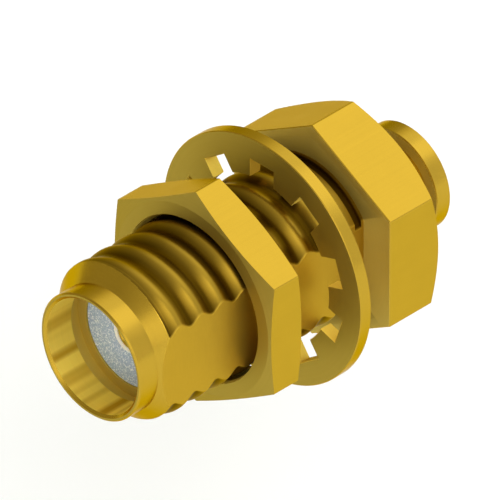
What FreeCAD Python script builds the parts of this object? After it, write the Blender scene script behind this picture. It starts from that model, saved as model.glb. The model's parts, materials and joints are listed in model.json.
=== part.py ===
# Panel-mounting coaxial jack: a turned and gold-plated body with a threaded barrel, two insulating
# beads that hold a slotted centre contact, and the internal-tooth lock washer and hexagon nut that
# clamp the body to a thin panel. All sizes are in millimetres and degrees.
# The axis of the jack is X: the mating end points along +X and the cable end along -X, +Z is up, and
# the flat on the thread faces +Y. The origin is the centre of the face that seats on the panel.

import FreeCAD, Part
import Sketcher
import math
import os

SIZES = {
    # Barrel of the body, in front of the panel face
    "barrel_length": 11.25,
    "thread_diameter": 6.35,
    "width_over_flat": 5.83,
    "nose_diameter": 5.09,
    "nose_length": 0.90,
    "lead_cone_angle": 45.0,
    "nose_edge_break": 0.06,
    # Coupling thread: one right-hand groove with flats at its crest and its root
    "thread_pitch": 1.085,
    "thread_depth": 0.14,
    "thread_crest_width": 0.16,
    "thread_root_width": 0.16,
    "thread_land_width": 0.12,
    "thread_relief_width": 0.33,
    # Mating interface inside the nose
    "mating_bore_diameter": 4.62,
    "mating_bore_depth": 1.31,
    "mouth_break": 0.10,
    "relief_diameter": 5.02,
    "seat_depth": 1.85,
    # Bore that holds the beads, and the shoulder that stops them
    "bead_bore_diameter": 4.18,
    "shoulder_setback": 1.40,
    # Hexagon, neck and collar of the body, behind the panel face
    "body_across_flats": 8.0,
    "hexagon_thickness": 2.60,
    "body_crown_diameter": 7.60,
    "body_crown_angle": 30.0,
    "neck_diameter": 3.32,
    "neck_length": 1.70,
    "collar_diameter": 4.30,
    "collar_length": 0.70,
    "collar_edge_break": 0.04,
    # Cable entry in the rear end
    "cable_bore_diameter": 2.24,
    "cable_lead_in": 0.10,
    "core_hole_diameter": 1.72,
    "web_thickness": 0.35,
    # Centre contact
    "contact_diameter": 1.27,
    "contact_recess": 0.07,
    "contact_nose_break": 0.04,
    "socket_diameter": 0.94,
    "socket_depth": 2.60,
    "socket_lead_in": 0.06,
    "slot_width": 0.14,
    "slot_length": 2.30,
    "stop_flange_diameter": 2.00,
    "stop_flange_thickness": 0.80,
    "solder_cup_diameter": 0.56,
    "solder_cup_depth": 2.00,
    "solder_cup_lead_in": 0.06,
    "contact_tail_gap": 0.25,
    # Insulating beads
    "front_bead_length": 5.20,
    "bead_recess": 0.06,
    "bead_mouth_break": 0.075,
    "bead_fit": 0.01,
    "contact_fit": 0.01,
    "flange_play": 0.02,
    # Hexagon nut
    "nut_across_flats": 8.0,
    "nut_thickness": 1.60,
    "nut_crown_diameter": 7.76,
    "nut_crown_angle": 15.0,
    "nut_thread_clearance": 0.05,
    "nut_countersink_diameter": 6.72,
    "nut_stand_off": 1.95,
    # Internal-tooth lock washer
    "washer_diameter": 10.12,
    "washer_thickness": 0.53,
    "washer_stand_off": 2.02,
    "tooth_clearance": 0.225,
    "tooth_height": 0.70,
    "tooth_gap_width": 1.20,
    "tooth_count": 10,
}

document = FreeCAD.newDocument("CoaxialJack")
sheet = document.addObject("Spreadsheet::Sheet", "Sizes")
for row, (size_name, size_value) in enumerate(SIZES.items(), start=1):
    sheet.set("A%d" % row, size_name)
    sheet.set("B%d" % row, str(size_value))
    sheet.setAlias("B%d" % row, size_name)
document.recompute()


def sized(formula):
    """Turns a formula on plain size names into one on the cells of the sheet."""
    words = formula.replace("(", "( ").replace(")", " )").split()
    return " ".join("Sizes." + word if word in SIZES else word for word in words)


def origin_part(body, role):
    """Finds one of the origin planes or axes of a body by its role."""
    return next(part for part in body.Origin.OriginFeatures if part.Role == role)


def new_body(label):
    """Starts a sub-part with a label of its own."""
    body = document.addObject("PartDesign::Body", label)
    body.Label = label
    return body


def new_sketch(body, name, plane):
    """Adds an empty sketch on one of the body's origin planes."""
    sketch = body.newObject("Sketcher::SketchObject", name)
    sketch.AttachmentSupport = [(origin_part(body, plane), "")]
    sketch.MapMode = "FlatFace"
    return sketch


def outline(body, name, corners, plane="XZ_Plane"):
    """Draws a closed outline with straight sides, its corners given as pairs of formulas."""
    sketch = new_sketch(body, name, plane)
    count = len(corners)
    turn = 2 * math.pi / count
    start = [FreeCAD.Vector(math.cos(i * turn), math.sin(i * turn), 0) for i in range(count)]
    for index in range(count):
        sketch.addGeometry(Part.LineSegment(start[index], start[(index + 1) % count]), False)
    for index in range(count):
        sketch.addConstraint(Sketcher.Constraint("Coincident", index, 2, (index + 1) % count, 1))
    for index, corner in enumerate(corners):
        for kind, formula, value in zip(("DistanceX", "DistanceY"), corner, start[index]):
            number = sketch.addConstraint(Sketcher.Constraint(kind, -1, 1, index, 1, value))
            sketch.setExpression("Constraints[%d]" % number, sized(formula))
    return sketch


def disc(body, name, diameter):
    """Draws a circle about the axis of the jack, on the plane across it."""
    sketch = new_sketch(body, name, "YZ_Plane")
    sketch.addGeometry(Part.Circle(FreeCAD.Vector(), FreeCAD.Vector(0, 0, 1), 1), False)
    sketch.addConstraint(Sketcher.Constraint("Coincident", 0, 3, -1, 1))
    number = sketch.addConstraint(Sketcher.Constraint("Diameter", 0, 2))
    sketch.setExpression("Constraints[%d]" % number, sized(diameter))
    return sketch


def hexagon(body, name, across_flats):
    """Draws a regular hexagon about the axis, with two of its flats facing +Y and -Y."""
    half = across_flats + " / 2"
    half_side = across_flats + " / 2 * tan( 30 )"
    point = across_flats + " / 2 / cos( 30 )"
    corners = (
        (half, half_side),
        ("0", point),
        ("-1 * " + half, half_side),
        ("-1 * " + half, "-1 * " + half_side),
        ("0", "-1 * " + point),
        (half, "-1 * " + half_side),
    )
    return outline(body, name, corners, "YZ_Plane")


def extrude(body, kind, name, sketch, length, backwards=False, both_ways=False):
    """Pads or pockets a sketch: a pad goes along +X from a plane across the axis, a pocket too."""
    feature = body.newObject("PartDesign::" + kind, name)
    feature.Profile = sketch
    feature.Reversed = backwards != (kind == "Pocket")
    feature.SideType = "Symmetric" if both_ways else "One side"
    feature.setExpression("Length", sized(length))
    sketch.Visibility = False
    return feature


def turn(body, kind, name, sketch):
    """Turns a sketch once round the axis of the jack, to add metal or to cut it away."""
    feature = body.newObject("PartDesign::" + kind, name)
    feature.Profile = sketch
    feature.ReferenceAxis = (sketch, ["H_Axis"])
    feature.Angle = 360
    sketch.Visibility = False
    return feature


def repeat_round_axis(body, name, feature, count, angle):
    """Repeats a feature about the axis and makes the pattern the result of the body."""
    pattern = body.newObject("PartDesign::PolarPattern", name)
    pattern.Originals = [feature]
    pattern.Axis = (origin_part(body, "X_Axis"), [""])
    pattern.Angle = angle
    pattern.setExpression("Occurrences", sized(count))
    body.Tip = pattern
    return pattern


def crown(body, name, face, direction, crown_diameter, crown_angle, across_flats):
    """Chamfers the corners of a hexagon with a cone that starts from a circle on its end face."""
    outside = across_flats + " / 2 / cos( 30 ) + 0.1 * " + across_flats
    fall = "( " + outside + " - " + crown_diameter + " / 2 ) * tan( " + crown_angle + " )"
    corners = (
        (face, crown_diameter + " / 2"),
        (face + " - " + direction + " * " + fall, outside),
        (face, outside),
    )
    return turn(body, "Groove", name, outline(body, name + "_outline", corners))


def cut_thread(body, name, start, length, blank_radius, direction):
    """Cuts a helical groove from a plane across the axis, starting below the axis.

    The direction is "-1" for a groove that goes in from a barrel, "1" for one in a hole's wall.
    """
    flank = "( thread_pitch - thread_crest_width - thread_root_width ) / 2"
    root_half = "thread_root_width / 2"
    mouth_half = "( " + root_half + " + 1.1 * " + flank + " )"
    root = blank_radius + " + " + direction + " * thread_depth"
    mouth = blank_radius + " - " + direction + " * 0.1 * thread_depth"
    corners = (
        (start + " - " + mouth_half, "-1 * ( " + mouth + " )"),
        (start + " - " + root_half, "-1 * ( " + root + " )"),
        (start + " + " + root_half, "-1 * ( " + root + " )"),
        (start + " + " + mouth_half, "-1 * ( " + mouth + " )"),
    )
    sketch = outline(body, name + "_outline", corners)
    helix = body.newObject("PartDesign::SubtractiveHelix", name)
    helix.Profile = sketch
    helix.ReferenceAxis = (sketch, ["H_Axis"])
    helix.Mode = "pitch-height-angle"
    helix.setExpression("Pitch", sized("thread_pitch"))
    helix.setExpression("Height", sized(length))
    sketch.Visibility = False
    return helix


def check_less(body, before):
    """Makes sure that the last cut took metal away."""
    document.recompute()
    if not body.Shape.Volume < before - 1e-6:
        raise RuntimeError(body.Label + ": the last cut removed nothing")
    return body.Shape.Volume


def make_body():
    """The one-piece turned body: threaded barrel, hexagon, neck and collar, bored from both ends."""
    body = new_body("body")

    # Barrel, from inside the hexagon to the nose, with the cone where the thread runs in
    nose_radius = "nose_diameter / 2"
    cone_start = "barrel_length - nose_length"
    cone_length = "( thread_diameter - nose_diameter ) / 2 / tan( lead_cone_angle )"
    barrel = (
        ("0", "0"),
        ("0", "thread_diameter / 2"),
        (cone_start + " - " + cone_length, "thread_diameter / 2"),
        (cone_start, nose_radius),
        ("barrel_length - nose_edge_break", nose_radius),
        ("barrel_length", nose_radius + " - nose_edge_break"),
        ("barrel_length", "0"),
    )
    turn(body, "Revolution", "barrel", outline(body, "barrel_outline", barrel))

    # Hexagon behind the panel face, crowned on its rear side only
    sketch = hexagon(body, "hexagon_outline", "body_across_flats")
    extrude(body, "Pad", "hexagon", sketch, "hexagon_thickness", backwards=True)

    # Neck and collar that end the body at the cable
    hexagon_rear = "-1 * hexagon_thickness"
    collar_front = hexagon_rear + " - neck_length"
    rear_end = collar_front + " - collar_length"
    collar_radius = "collar_diameter / 2"
    tail = (
        (hexagon_rear, "0"),
        (hexagon_rear, "neck_diameter / 2"),
        (collar_front, "neck_diameter / 2"),
        (collar_front, collar_radius),
        (rear_end + " + collar_edge_break", collar_radius),
        (rear_end, collar_radius + " - collar_edge_break"),
        (rear_end, "0"),
    )
    turn(body, "Revolution", "neck_and_collar", outline(body, "tail_outline", tail))
    document.recompute()
    volume = body.Shape.Volume

    crown(body, "hexagon_crown", hexagon_rear, "-1", "body_crown_diameter", "body_crown_angle",
          "body_across_flats")
    volume = check_less(body, volume)

    # Flat along the thread, which keys the barrel in a D-shaped panel hole
    flat_height = "( width_over_flat - thread_diameter / 2 )"
    key_flat = (
        (flat_height, "-1 * thread_diameter"),
        ("thread_diameter", "-1 * thread_diameter"),
        ("thread_diameter", "thread_diameter"),
        (flat_height, "thread_diameter"),
    )
    sketch = outline(body, "key_flat_outline", key_flat, "YZ_Plane")
    extrude(body, "Pocket", "key_flat", sketch, "barrel_length")
    volume = check_less(body, volume)

    # A land at the panel face that centres the panel, the relief in front of it, and the thread
    # from there until it runs out over the cone
    relief_end = "thread_land_width + thread_relief_width"
    relief = (
        ("thread_land_width", "thread_diameter / 2 - thread_depth"),
        ("thread_land_width", "thread_diameter / 2 + thread_depth"),
        (relief_end, "thread_diameter / 2 + thread_depth"),
        (relief_end, "thread_diameter / 2 - thread_depth"),
    )
    turn(body, "Groove", "thread_relief", outline(body, "thread_relief_outline", relief))
    volume = check_less(body, volume)
    thread_start = "0.75 * thread_pitch"
    cut_thread(body, "coupling_thread", thread_start, cone_start + " - " + thread_start,
               "thread_diameter / 2", "-1")
    volume = check_less(body, volume)

    # Stepped bore from the nose: mouth, mating bore, relief, seat and the bore for the beads
    mating_radius = "mating_bore_diameter / 2"
    shoulder = "-1 * shoulder_setback"
    front_bore = (
        ("barrel_length", "0"),
        ("barrel_length", mating_radius + " + mouth_break"),
        ("barrel_length - mouth_break", mating_radius),
        ("barrel_length - mating_bore_depth", mating_radius),
        ("barrel_length - mating_bore_depth", "relief_diameter / 2"),
        ("barrel_length - seat_depth", "relief_diameter / 2"),
        ("barrel_length - seat_depth", "bead_bore_diameter / 2"),
        (shoulder, "bead_bore_diameter / 2"),
        (shoulder, "0"),
    )
    turn(body, "Groove", "front_bore", outline(body, "front_bore_outline", front_bore))
    volume = check_less(body, volume)

    # Stepped bore from the rear: cable seat, web, and the hole that the cable's core passes
    cable_radius = "cable_bore_diameter / 2"
    web_rear = shoulder + " - web_thickness"
    rear_bore = (
        (shoulder, "0"),
        (shoulder, "core_hole_diameter / 2"),
        (web_rear, "core_hole_diameter / 2"),
        (web_rear, cable_radius),
        (rear_end + " + cable_lead_in", cable_radius),
        (rear_end, cable_radius + " + cable_lead_in"),
        (rear_end, "0"),
    )
    turn(body, "Groove", "rear_bore", outline(body, "rear_bore_outline", rear_bore))
    check_less(body, volume)
    return body


# Places along the axis that the beads and the contact share
BEAD_FACE = "barrel_length - seat_depth - bead_recess"
BEAD_JOINT = BEAD_FACE + " - front_bead_length"
SHOULDER = "-1 * shoulder_setback"
BEAD_RADIUS = "( bead_bore_diameter / 2 - bead_fit )"
HOLE_RADIUS = "( contact_diameter / 2 + contact_fit )"


def make_front_insulator():
    """The bead at the interface, with a pocket in its rear face for the stop flange."""
    body = new_body("front_insulator")
    pocket_radius = "( stop_flange_diameter / 2 + flange_play )"
    pocket_floor = BEAD_JOINT + " + stop_flange_thickness + flange_play"
    bead = (
        (BEAD_FACE, BEAD_RADIUS),
        (BEAD_JOINT, BEAD_RADIUS),
        (BEAD_JOINT, pocket_radius),
        (pocket_floor, pocket_radius),
        (pocket_floor, HOLE_RADIUS),
        (BEAD_FACE + " - bead_mouth_break", HOLE_RADIUS),
        (BEAD_FACE, HOLE_RADIUS + " + bead_mouth_break"),
    )
    turn(body, "Revolution", "front_bead", outline(body, "front_bead_outline", bead))
    return body


def make_rear_insulator():
    """The plain bead between the stop flange and the shoulder of the body."""
    body = new_body("rear_insulator")
    bead = (
        (BEAD_JOINT, BEAD_RADIUS),
        (SHOULDER, BEAD_RADIUS),
        (SHOULDER, HOLE_RADIUS),
        (BEAD_JOINT, HOLE_RADIUS),
    )
    turn(body, "Revolution", "rear_bead", outline(body, "rear_bead_outline", bead))
    return body


def make_centre_contact():
    """The pin of the line: four spring fingers in front, a stop flange, and a solder cup behind."""
    body = new_body("centre_contact")
    radius = "contact_diameter / 2"
    front = BEAD_FACE + " - contact_recess"
    tail_end = SHOULDER + " + contact_tail_gap"
    flange_front = BEAD_JOINT + " + stop_flange_thickness"
    flange_radius = "stop_flange_diameter / 2"
    rod = (
        (front, "0"),
        (front, radius + " - contact_nose_break"),
        (front + " - contact_nose_break", radius),
        (flange_front, radius),
        (flange_front, flange_radius),
        (BEAD_JOINT, flange_radius),
        (BEAD_JOINT, radius),
        (tail_end, radius),
        (tail_end, "0"),
    )
    turn(body, "Revolution", "rod", outline(body, "rod_outline", rod))
    document.recompute()
    volume = body.Shape.Volume

    for name, mouth, inwards, width, depth, lead_in in (
        ("socket", front, " - ", "socket_diameter / 2", "socket_depth", "socket_lead_in"),
        ("solder_cup", tail_end, " + ", "solder_cup_diameter / 2", "solder_cup_depth",
         "solder_cup_lead_in"),
    ):
        hole = (
            (mouth, "0"),
            (mouth, width + " + " + lead_in),
            (mouth + inwards + lead_in, width),
            (mouth + inwards + depth, width),
            (mouth + inwards + depth, "0"),
        )
        turn(body, "Groove", name, outline(body, name + "_outline", hole))
        volume = check_less(body, volume)

    # One saw cut right across the socket, and a second at right angles, leave four fingers
    slot = (
        (front + " - slot_length", "-0.5 * slot_width"),
        (front, "-0.5 * slot_width"),
        (front, "0.5 * slot_width"),
        (front + " - slot_length", "0.5 * slot_width"),
    )
    sketch = outline(body, "slot_outline", slot)
    cut = extrude(body, "Pocket", "slot", sketch, "2 * contact_diameter", both_ways=True)
    volume = check_less(body, volume)
    repeat_round_axis(body, "crossed_slots", cut, "2", 90)
    check_less(body, volume)
    return body


def make_hex_nut():
    """The thin nut, crowned and countersunk on both sides, modelled from its rear face forwards."""
    body = new_body("hex_nut")
    sketch = hexagon(body, "nut_outline", "nut_across_flats")
    extrude(body, "Pad", "nut_blank", sketch, "nut_thickness")
    document.recompute()
    volume = body.Shape.Volume

    bore = "( thread_diameter / 2 + nut_thread_clearance )"
    mouth = "nut_countersink_diameter / 2"
    depth = "( " + mouth + " - " + bore + " )"
    threaded_hole = (
        ("0", "0"),
        ("0", mouth),
        (depth, bore),
        ("nut_thickness - " + depth, bore),
        ("nut_thickness", mouth),
        ("nut_thickness", "0"),
    )
    turn(body, "Groove", "threaded_hole", outline(body, "threaded_hole_outline", threaded_hole))
    volume = check_less(body, volume)
    # The thread's groove lies outside the crests of the body's thread, so that the nut slides freely
    cut_thread(body, "nut_thread", "-1 * thread_pitch", "nut_thickness + 2 * thread_pitch", bore, "1")
    volume = check_less(body, volume)
    for name, face, direction in (("rear_crown", "0", "-1"), ("front_crown", "nut_thickness", "1")):
        crown(body, name, face, direction, "nut_crown_diameter", "nut_crown_angle",
              "nut_across_flats")
        volume = check_less(body, volume)
    place = "washer_stand_off + washer_thickness + nut_stand_off"
    body.setExpression("Placement.Base.x", sized(place))
    return body


def make_lock_washer():
    """The flat ring whose internal teeth grip the nut, with one gap between teeth at the top."""
    body = new_body("lock_washer")
    extrude(body, "Pad", "ring", disc(body, "ring_outline", "washer_diameter"), "washer_thickness")
    document.recompute()
    volume = body.Shape.Volume

    tooth_tip = "( thread_diameter / 2 + tooth_clearance )"
    sketch = disc(body, "hole_outline", "2 * " + tooth_tip)
    extrude(body, "Pocket", "hole", sketch, "washer_thickness")
    volume = check_less(body, volume)

    gap = (
        ("-0.5 * tooth_gap_width", "0.5 * " + tooth_tip),
        ("0.5 * tooth_gap_width", "0.5 * " + tooth_tip),
        ("0.5 * tooth_gap_width", tooth_tip + " + tooth_height"),
        ("-0.5 * tooth_gap_width", tooth_tip + " + tooth_height"),
    )
    sketch = outline(body, "gap_outline", gap, "YZ_Plane")
    cut = extrude(body, "Pocket", "tooth_gap", sketch, "washer_thickness")
    volume = check_less(body, volume)
    repeat_round_axis(body, "tooth_gaps", cut, "tooth_count", 360)
    check_less(body, volume)
    body.setExpression("Placement.Base.x", sized("washer_stand_off"))
    return body


pieces = [
    make_body(),
    make_front_insulator(),
    make_rear_insulator(),
    make_centre_contact(),
    make_hex_nut(),
    make_lock_washer(),
]
document.recompute()

for item in document.Objects:
    if "Invalid" in item.State or "Error" in item.State:
        raise RuntimeError(item.Name + " failed: " + str(item.State))
for piece in pieces:
    if piece.Shape.isNull() or not piece.Shape.isValid():
        raise RuntimeError(piece.Label + " has no valid shape")

os.makedirs("parts", exist_ok=True)
for piece in pieces:
    piece.Shape.exportStep("parts/" + piece.Label + ".step")
    box = piece.Shape.BoundBox
    print("%-16s solids %d  volume %8.3f  x %.3f to %.3f" % (
        piece.Label, len(piece.Shape.Solids), piece.Shape.Volume, box.XMin, box.XMax))
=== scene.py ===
"""Looks of a panel-mounting coaxial jack: gold-plated turned pieces, insulating beads, a plain studio.

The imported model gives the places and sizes. Shapes are worked out in millimetres and made in
metres. +X runs along the jack to its mating end, +Z is up, and the flat on the thread faces +Y.
"""

import json
import logging
import math
from dataclasses import dataclass, field, replace
from enum import Enum
from typing import Any, Iterable, Optional, Union

import bpy
import numpy as np
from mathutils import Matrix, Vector


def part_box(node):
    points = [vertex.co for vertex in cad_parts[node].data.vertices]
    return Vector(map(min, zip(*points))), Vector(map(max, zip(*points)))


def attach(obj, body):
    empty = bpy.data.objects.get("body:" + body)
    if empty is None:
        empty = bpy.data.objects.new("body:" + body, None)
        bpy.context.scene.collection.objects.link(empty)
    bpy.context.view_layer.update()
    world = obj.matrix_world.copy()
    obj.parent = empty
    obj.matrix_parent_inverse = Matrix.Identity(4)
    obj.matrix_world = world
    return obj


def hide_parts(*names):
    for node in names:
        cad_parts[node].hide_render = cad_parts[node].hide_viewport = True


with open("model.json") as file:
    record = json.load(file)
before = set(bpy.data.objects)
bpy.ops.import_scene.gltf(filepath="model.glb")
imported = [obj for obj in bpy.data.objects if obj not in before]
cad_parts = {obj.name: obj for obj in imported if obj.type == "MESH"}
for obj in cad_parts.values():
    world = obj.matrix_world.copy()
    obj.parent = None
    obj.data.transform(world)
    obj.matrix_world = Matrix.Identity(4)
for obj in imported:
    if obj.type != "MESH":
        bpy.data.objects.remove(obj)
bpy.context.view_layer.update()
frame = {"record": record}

LOG = logging.getLogger("coaxial_jack")
MM = 0.001
FULL_TURN = 2 * math.pi
# Half of the angle that one side of a hexagon takes up, seen from the axis
HALF_SIDE = math.pi / 6
# How much an isometric picture shortens each axis
ISOMETRIC = math.sqrt(2 / 3)
WHITE = (1.0, 1.0, 1.0, 1.0)

# The flat's edge wanders with the thread, so its angle is closed in on in a few steps
FLAT_EDGE_STEPS = 4
# The flat runs out on the cone in a tip this wide to either side, too small to see
FLAT_TIP_DEG = 1.5
# Up to this share the columns only follow the flat, and no metal is milled away
FLAT_GONE = 0.99
# Lengths and angles that differ by less than this count as equal
SLACK_MM = 1e-4
SLACK_RAD = 1e-4
# The sides of two sectors that are closer than this are welded
WELD_MM = 0.0005

# The middle of the values that a noise texture gives
NOISE_MIDDLE = 0.5
# From this share of painted shade on, a surface is made rougher
PAINTED_SHADE_ROUGH_FROM = 0.1
# How far the number of a surface kind may be off when a shader reads it
KIND_SLACK = 0.1
# Watts for each square metre of a soft lamp whose face shines at level 1
LAMP_WATTS = 4.0

Samples = Union[float, np.ndarray]


class Surface(Enum):
    """How a band of a piece was cut, which sets its colour and the run of its tool marks; FACED bands get
    painted shade, BORED and SEAT bands painted light.
    """

    TURNED = 0
    FLAT = 1
    FACED = 2
    BORED = 3
    SEAT = 4


class Body(Enum):
    """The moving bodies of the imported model."""

    JACK = "jack"
    NUT = "nut"
    WASHER = "washer"


def linear(hex_colour: str) -> tuple[float, float, float, float]:
    """Turns an sRGB hex colour into the linear values that shaders work with.

    Args:
        hex_colour: Six hex digits after a hash sign.

    Returns:
        Linear red, green and blue, and an alpha of one.
    """
    channels = [int(hex_colour[i:i + 2], 16) / 255 for i in (1, 3, 5)]
    values = [c / 12.92 if c <= 0.04045 else ((c + 0.055) / 1.055) ** 2.4 for c in channels]
    return values[0], values[1], values[2], 1.0


def add_node(tree: bpy.types.NodeTree, kind: str, inputs: Optional[dict[Any, Any]] = None,
             **settings: Any) -> bpy.types.Node:
    """Adds one node to a tree, with its settings, its input values and its links.

    Args:
        tree: The shader or geometry tree.
        kind: The node's type name.
        inputs: Socket name or number to a plain value, a Wire or an output socket to link from.
        settings: Properties of the node.

    Returns:
        The new node.
    """
    node = tree.nodes.new(kind)
    for name, value in settings.items():
        setattr(node, name, value)
    for key, value in (inputs or {}).items():
        source = value.socket if isinstance(value, Wire) else value
        if isinstance(source, bpy.types.NodeSocket):
            tree.links.new(source, node.inputs[key])
        else:
            node.inputs[key].default_value = source
    return node


@dataclass(frozen=True)
class Wire:
    """A number that flows through a node tree, so that a formula can be written as a sum."""

    tree: bpy.types.NodeTree
    socket: bpy.types.NodeSocket

    def calc(self, operation: str, *others: Union["Wire", float]) -> "Wire":
        """Joins this number with others through one math node.

        Args:
            operation: The math node's operation.
            others: The other operands, wires or plain numbers.

        Returns:
            The result as a wire.
        """
        operands = dict(enumerate((self, *others)))
        node = add_node(self.tree, "ShaderNodeMath", operands, operation=operation)
        return Wire(self.tree, node.outputs[0])

    def __add__(self, other: Union["Wire", float]) -> "Wire":
        """Adds a wire or a number."""
        return self.calc("ADD", other)

    def __sub__(self, other: Union["Wire", float]) -> "Wire":
        """Takes away a wire or a number."""
        return self.calc("SUBTRACT", other)

    def __mul__(self, other: Union["Wire", float]) -> "Wire":
        """Multiplies by a wire or a number."""
        return self.calc("MULTIPLY", other)

    def __truediv__(self, other: Union["Wire", float]) -> "Wire":
        """Divides by a wire or a number."""
        return self.calc("DIVIDE", other)

    def __rsub__(self, other: float) -> "Wire":
        """Takes this wire away from a number."""
        return self * -1.0 + other

    def clamped(self) -> "Wire":
        """Keeps the number between 0 and 1."""
        return self.calc("MAXIMUM", 0.0).calc("MINIMUM", 1.0)

    def choose(self, low: Union["Wire", float], high: Union["Wire", float]) -> "Wire":
        """Goes from one value to another as this wire goes from 0 to 1.

        Args:
            low: The value at 0.
            high: The value at 1.

        Returns:
            The mixed value.
        """
        node = add_node(self.tree, "ShaderNodeMix", {0: self, 2: low, 3: high}, data_type="FLOAT")
        return Wire(self.tree, node.outputs[0])


def empty_tree(owner: Union[bpy.types.Material, bpy.types.World]) -> bpy.types.NodeTree:
    """Turns on the shader tree of a material or a world, and empties it.

    Args:
        owner: The material or the world.

    Returns:
        The empty tree.
    """
    owner.use_nodes = True
    owner.node_tree.nodes.clear()
    return owner.node_tree


def add_object(name: str, data: bpy.types.ID) -> bpy.types.Object:
    """Makes an object of a mesh, a lamp or a camera, and links it to the scene.

    Args:
        name: The object's name.
        data: What the object shows.

    Returns:
        The new object, at the origin.
    """
    made = bpy.data.objects.new(name, data)
    bpy.context.scene.collection.objects.link(made)
    return made


def mount(name: str) -> dict[str, Any]:
    """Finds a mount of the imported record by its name."""
    return next(m for m in frame["record"]["mounts"] if m["name"] == name)


def box_mm(node: str) -> tuple[Vector, Vector]:
    """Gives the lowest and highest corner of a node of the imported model, in millimetres."""
    low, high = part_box(node)
    return low / MM, high / MM


@dataclass(frozen=True)
class Station:
    """One ring of a lofted piece, and the band of surface from it to the next ring."""

    along: Samples
    radius: Samples
    surface: Surface = Surface.TURNED
    crisp: bool = True
    # Whether the crisp columns show as edges on the band
    edged: bool = False
    # Share of the thread that is cut here, of the flat, and of the painted shade that darkens a corner
    thread: float = 0.0
    flat: float = 0.0
    painted_shade: float = 0.0


@dataclass
class Loft:
    """A skin through rings that share their columns, closed from the last ring to the first."""

    name: str
    columns: np.ndarray
    stations: list[Station]
    crisp_columns: tuple[int, ...] = ()
    closed_round: bool = True

    def points(self) -> np.ndarray:
        """Works out every point of the skin.

        Returns:
            The points in millimetres, ring after ring.
        """
        rings, angle = [], self.columns
        for station in self.stations:
            along = np.broadcast_to(station.along, angle.shape)
            radius = np.broadcast_to(station.radius, angle.shape)
            rings.append(np.stack((along, radius * np.cos(angle), radius * np.sin(angle)), 1))
        return np.concatenate(rings)

    def build(self) -> bpy.types.Object:
        """Makes the mesh, with crisp edges and the surface kind and station values as attributes.

        Returns:
            The object, at the origin, with its place in its mesh.
        """
        count, width = len(self.stations), len(self.columns)
        last = width if self.closed_round else width - 1
        ring, column = np.meshgrid(np.arange(count), np.arange(last), indexing="ij")
        after, beside = (ring + 1) % count, (column + 1) % width
        corners = (ring * width + column, ring * width + beside,
                   after * width + beside, after * width + column)
        quads = np.stack([c.ravel() for c in corners], 1)
        points = self.points()
        if signed_volume(points, quads) < 0:
            quads = quads[:, ::-1]
        mesh = bpy.data.meshes.new(self.name)
        mesh.from_pydata((points * MM).tolist(), [], quads.tolist())
        mesh.shade_smooth()
        self.store(mesh, "surface_kind", "FACE", np.repeat(
            [s.surface.value for s in self.stations], last))
        self.store(mesh, "column_angle", "POINT", np.tile(self.columns, count))
        for share in ("thread", "flat", "painted_shade"):
            values = [getattr(station, share) for station in self.stations]
            self.store(mesh, f"{share}_share", "POINT", np.repeat(values, width))
        self.mark_crisp(mesh)
        return add_object(self.name, mesh)

    def store(self, mesh: bpy.types.Mesh, name: str, domain: str, values: np.ndarray) -> None:
        """Writes one number for each face or point into the mesh."""
        layer = mesh.attributes.new(name, "FLOAT", domain)
        layer.data.foreach_set("value", np.asarray(values, np.float32))

    def mark_crisp(self, mesh: bpy.types.Mesh) -> None:
        """Marks the edges where the shading must break, along rings and along columns.

        Args:
            mesh: The mesh of the whole skin.
        """
        width, count = len(self.columns), len(self.stations)
        ends = np.zeros(len(mesh.edges) * 2, np.int64)
        mesh.edges.foreach_get("vertices", ends)
        first, second = ends.reshape(-1, 2).T
        ring_a, ring_b = first // width, second // width
        on_ring = (ring_a == ring_b) & np.array([s.crisp for s in self.stations])[ring_a]
        band = np.where((ring_a == 0) & (ring_b == count - 1), ring_b, np.minimum(ring_a, ring_b))
        crossed = np.array([s.edged for s in self.stations])[band]
        on_column = (ring_a != ring_b) & np.isin(first % width, self.crisp_columns) & crossed
        layer = mesh.attributes.new("sharp_edge", "BOOLEAN", "EDGE")
        layer.data.foreach_set("value", on_ring | on_column)


def round_columns(count: int) -> np.ndarray:
    """Spaces a number of columns evenly over a full turn."""
    return np.linspace(-math.pi, math.pi, count, endpoint=False)


def signed_volume(points: np.ndarray, quads: np.ndarray) -> float:
    """Adds up the volume under each quad.

    Args:
        points: The points of the skin.
        quads: The four point numbers of each face.

    Returns:
        Six times the volume, negative where the skin is inside out.
    """
    a, b, c, d = (points[quads[:, i]] for i in range(4))
    halves = np.einsum("ij,ij->i", a, np.cross(b, c)) + np.einsum("ij,ij->i", a, np.cross(c, d))
    return float(halves.sum())


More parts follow.
